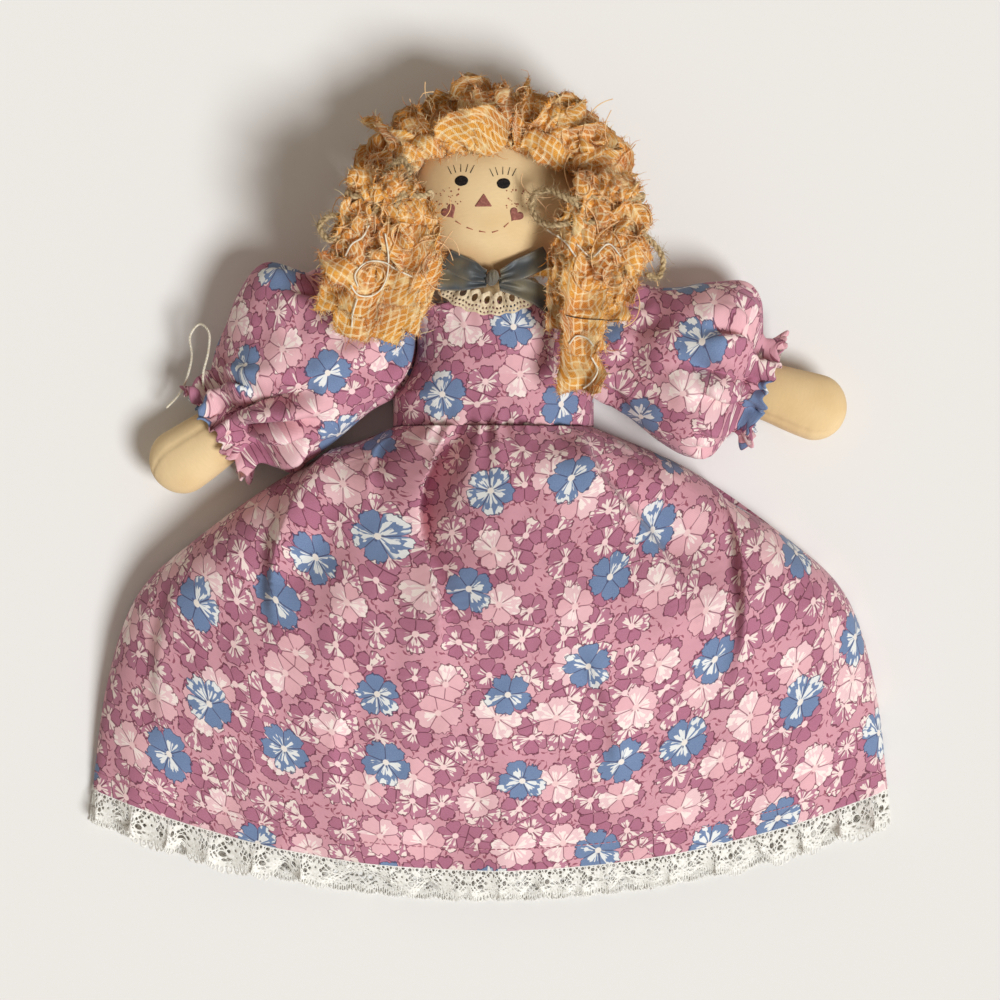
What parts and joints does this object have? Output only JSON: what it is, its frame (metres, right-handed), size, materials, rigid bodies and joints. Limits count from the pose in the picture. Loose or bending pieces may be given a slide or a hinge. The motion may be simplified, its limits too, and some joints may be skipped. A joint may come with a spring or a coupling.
{
  "type": "rag doll",
  "caption": "Small rag doll lying on its back: calico dress with puff sleeves and lace hem, muslin face and hands, hair of torn check strips in two twine-tied bunches.",
  "frame": {"origin": "centre of the flat back of the bodice, on the surface that the doll lies on", "axes": "+Z out of the doll's front, +Y towards its crown, +X towards the right of a viewer who looks at its face"},
  "size_m": [0.2447, 0.2494, 0.0545],
  "materials": {
    "muslin": "plain woven muslin, matt",
    "stuffing": "loose fibre filling",
    "calico": "printed flowers on dusty rose cotton",
    "lace": "open cotton lace",
    "satin": "grey satin ribbon with a soft sheen",
    "homespun": "torn orange check homespun with frayed edges",
    "twine": "hairy jute twine",
    "thread": "cream cotton thread"
  },
  "bodies": {
    "doll_body": {"torso_front_panel": "muslin", "torso_back_panel": "muslin", "torso_stuffing": "stuffing", "bodice_front": "calico", "bodice_back": "calico", "skirt_front_panel": "calico", "skirt_back_panel": "calico", "neck_lace": "lace", "hem_lace_front": "lace", "hem_lace_back": "lace"},
    "neck_piece": {"neck": "muslin", "ribbon_knot": "satin", "ribbon_band_left": "satin", "ribbon_band_right": "satin", "ribbon_tail_left": "satin", "ribbon_tail_right": "satin"},
    "head": {"head_front_panel": "muslin", "head_back_panel": "muslin", "head_stuffing": "stuffing", "fringe_strip_1": "homespun", "fringe_strip_2": "homespun", "fringe_strip_3": "homespun", "fringe_strip_4": "homespun", "fringe_strip_5": "homespun", "fringe_strip_6": "homespun", "fringe_strip_7": "homespun", "fringe_strip_8": "homespun", "fringe_strip_9": "homespun", "back_hair_1": "homespun", "back_hair_2": "homespun", "back_hair_3": "homespun"},
    "left_bunch": {"left_bunch_strip_1": "homespun", "left_bunch_strip_2": "homespun", "left_bunch_strip_3": "homespun", "left_bunch_strip_4": "homespun", "left_twine_tie": "twine", "left_twine_bow": "twine"},
    "right_bunch": {"right_bunch_strip_1": "homespun", "right_bunch_strip_2": "homespun", "right_bunch_strip_3": "homespun", "right_bunch_strip_4": "homespun", "right_twine_tie": "twine", "right_twine_bow": "twine"},
    "left_arm": {"left_arm_front_panel": "muslin", "left_arm_back_panel": "muslin", "left_arm_stuffing": "stuffing", "left_sleeve": "calico", "left_cuff_thread": "thread"},
    "right_arm": {"right_arm_front_panel": "muslin", "right_arm_back_panel": "muslin", "right_arm_stuffing": "stuffing", "right_sleeve": "calico"},
    "left_leg": {"left_leg_front_panel": "muslin", "left_leg_back_panel": "muslin", "left_leg_stuffing": "stuffing"},
    "right_leg": {"right_leg_front_panel": "muslin", "right_leg_back_panel": "muslin", "right_leg_stuffing": "stuffing"}
  },
  "joints": [
    {"name": "head_tilt", "type": "hinge", "parent": "doll_body", "child": "neck_piece", "pos_m": [0.001, 0.0195, 0.018], "axis": [0, 0, 1], "range_deg": [-15, 15]},
    {"name": "head_nod", "type": "hinge", "parent": "neck_piece", "child": "head", "pos_m": [0.001, 0.031, 0.033], "axis": [1, 0, 0], "range_deg": [0, 30]},
    {"name": "left_bunch_hang", "type": "hinge", "parent": "head", "child": "left_bunch", "pos_m": [-0.031, 0.052, 0.0497], "axis": [1, 0, 0], "range_deg": [-30, 0]},
    {"name": "right_bunch_hang", "type": "hinge", "parent": "head", "child": "right_bunch", "pos_m": [0.0335, 0.052, 0.0497], "axis": [1, 0, 0], "range_deg": [-30, 0]},
    {"name": "left_shoulder_swing", "type": "hinge", "parent": "doll_body", "child": "left_arm", "pos_m": [-0.0408, 0.006, 0.0145], "axis": [0, 0, -1], "range_deg": [-4, 32]},
    {"name": "right_shoulder_swing", "type": "hinge", "parent": "doll_body", "child": "right_arm", "pos_m": [0.0428, 0.006, 0.0145], "axis": [0, 0, 1], "range_deg": [-4, 40]},
    {"name": "left_hip_swing", "type": "hinge", "parent": "doll_body", "child": "left_leg", "pos_m": [-0.012, -0.0527, 0.0088], "axis": [0, 0, -1], "range_deg": [-3, 20]},
    {"name": "right_hip_swing", "type": "hinge", "parent": "doll_body", "child": "right_leg", "pos_m": [0.014, -0.0527, 0.0088], "axis": [0, 0, 1], "range_deg": [-3, 20]}
  ],
  "couplings": [
    {"joint": "left_bunch_hang", "follows": "head_nod", "ratio": -1},
    {"joint": "right_bunch_hang", "follows": "head_nod", "ratio": -1}
  ]
}
